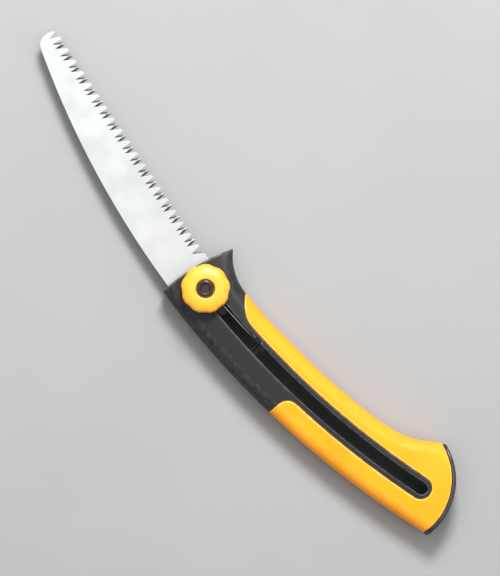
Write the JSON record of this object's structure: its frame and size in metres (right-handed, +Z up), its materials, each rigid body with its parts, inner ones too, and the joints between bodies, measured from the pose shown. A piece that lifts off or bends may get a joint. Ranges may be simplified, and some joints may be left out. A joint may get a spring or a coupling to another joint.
{
  "type": "retractable pruning saw",
  "caption": "Hand pruning saw whose curved blade slides along an arc into its hollow handle, with a lobed knob that clamps it and a two-tone grip.",
  "frame": {"origin": "where the knob's axis meets the plane that the saw rests on", "axes": "+X along the arc's tangent at the knob, towards the blade's tip; +Y towards the blade's back; +Z up through the knob"},
  "size_m": [0.3655, 0.0752, 0.0314],
  "materials": {
    "black_nylon": "fine moulded grain, satin",
    "black_cap": "smooth, semi-gloss",
    "amber_grip": "soft-touch, satin",
    "amber_nylon": "smooth, satin",
    "grey_acetal": "smooth, satin",
    "blade_steel": "satin, ground teeth",
    "spring_steel": "dark tempered strip, bright edges",
    "zinc_steel": "zinc plated",
    "black_steel": "black oxide",
    "brass": "turned"
  },
  "bodies": {
    "handle": {"shell_top": "black_nylon", "shell_bottom": "black_nylon", "grip_top": "amber_grip", "grip_bottom": "amber_grip", "end_cap": "black_cap", "detent_spring": "spring_steel", "housing_screw_nose": "zinc_steel", "housing_screw_heel": "zinc_steel", "housing_screw_butt": "zinc_steel"},
    "carriage": {"blade": "blade_steel", "slot_shoe": "grey_acetal", "nut_shoe": "grey_acetal", "clamp_nut": "zinc_steel", "tang_pin_front": "zinc_steel", "tang_pin_rear": "zinc_steel"},
    "washer": {"thrust_washer": "zinc_steel"},
    "knob": {"knob": "amber_nylon", "knob_insert": "brass", "clamp_screw": "black_steel", "stop_clip": "zinc_steel"}
  },
  "joints": [
    {"name": "blade_slide", "type": "hinge", "parent": "handle", "child": "carriage", "pos_m": [0, -0.5284, 0.011], "axis": [0, 0, 1], "range_deg": [0, 17.9], "deforming": ["detent_spring"]},
    {"name": "clamp_lift", "type": "slide", "parent": "carriage", "child": "washer", "axis": [0, 0, 1], "range_m": [0, 0.001]},
    {"name": "knob_turn", "type": "hinge", "parent": "washer", "child": "knob", "pos_m": [0, 0, 0.0234], "axis": [0, 0, 1], "range_deg": [0, 360]}
  ],
  "couplings": [
    {"joint": "clamp_lift", "follows": "knob_turn", "m_per_rad": 0.00015915}
  ]
}
